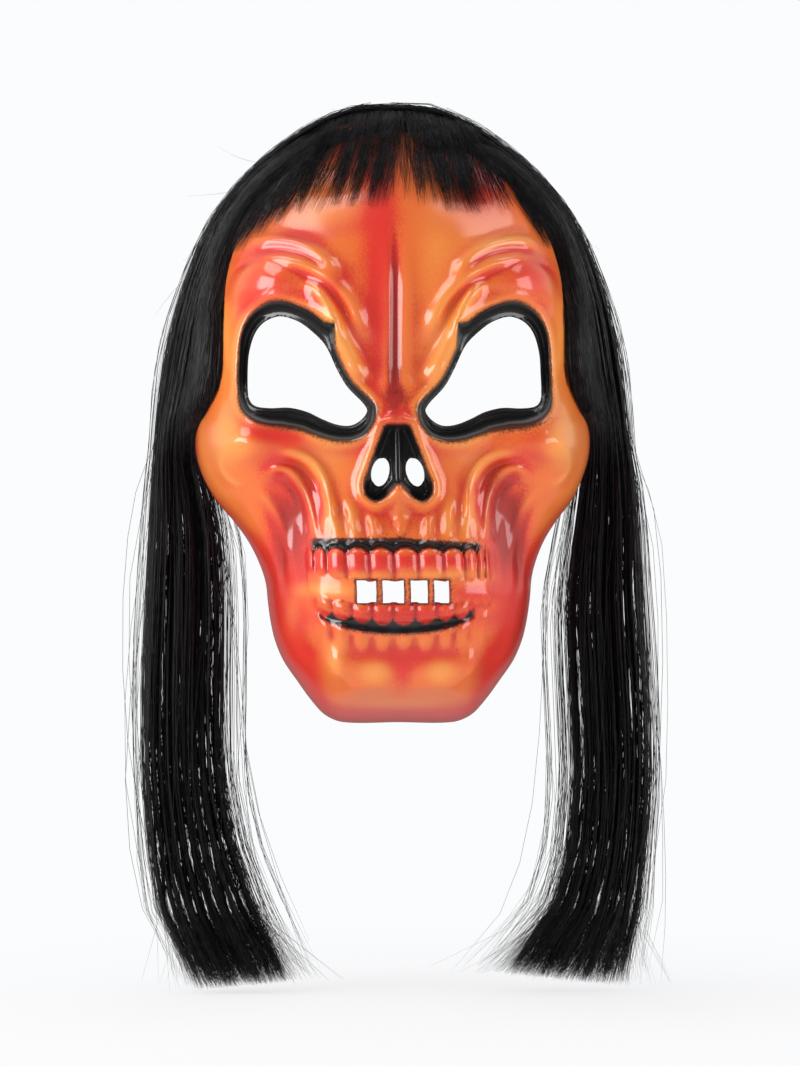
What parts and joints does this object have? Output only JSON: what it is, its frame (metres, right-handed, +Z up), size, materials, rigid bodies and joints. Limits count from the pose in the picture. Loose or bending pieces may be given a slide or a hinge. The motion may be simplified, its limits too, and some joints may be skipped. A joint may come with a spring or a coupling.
{
  "type": "halloween skull mask with hair",
  "caption": "Thin glossy skull face mask with angry brows, open eyes, nostrils and tooth gaps, long straight black hair with a fringe, and an elastic head band.",
  "frame": {"origin": "where the wearer's face meets the mask: in the rim plane, on the centre line, level with the bottom of the eye holes", "axes": "-Y the way the face looks, +Z up, +X to the right of somebody facing the mask"},
  "size_m": [0.227, 0.1129, 0.3737],
  "materials": {
    "painted_plastic": "glossy airbrushed orange and red on formed plastic",
    "black_hair": "shiny straight synthetic hair",
    "black_elastic": "ribbed flat elastic",
    "weft_tape": "woven tape with stitching",
    "steel": "plated steel wire and rivets"
  },
  "bodies": {
    "mask": {"mask_shell": "painted_plastic", "weft_tape": "weft_tape", "weft_staples": "steel", "strap_rivet_left": "steel", "strap_rivet_right": "steel", "hair_crown_left": "black_hair", "hair_crown_right": "black_hair"},
    "strap": {"elastic_strap": "black_elastic"},
    "hair_left": {"hair_fall_left_inner": "black_hair", "hair_fall_left_middle": "black_hair", "hair_fall_left_outer": "black_hair"},
    "hair_right": {"hair_fall_right_inner": "black_hair", "hair_fall_right_middle": "black_hair", "hair_fall_right_outer": "black_hair"},
    "fringe": {"fringe_left_outer": "black_hair", "fringe_left_inner": "black_hair", "fringe_centre": "black_hair", "fringe_right_inner": "black_hair", "fringe_right_outer": "black_hair"}
  },
  "joints": [
    {"name": "strap_swing", "type": "hinge", "parent": "mask", "child": "strap", "pos_m": [0, -0.01, 0.0185], "axis": [1, 0, 0], "range_deg": [0, 100]},
    {"name": "hair_left_swing", "type": "hinge", "parent": "mask", "child": "hair_left", "pos_m": [-0.095, 0.011, -0.031], "axis": [1, 0, 0], "range_deg": [-35, 50]},
    {"name": "hair_right_swing", "type": "hinge", "parent": "mask", "child": "hair_right", "pos_m": [0.095, 0.011, -0.031], "axis": [1, 0, 0], "range_deg": [-35, 50]},
    {"name": "fringe_lift", "type": "hinge", "parent": "mask", "child": "fringe", "pos_m": [0, -0.014, 0.1302], "axis": [-1, 0, 0], "range_deg": [0, 60]}
  ]
}
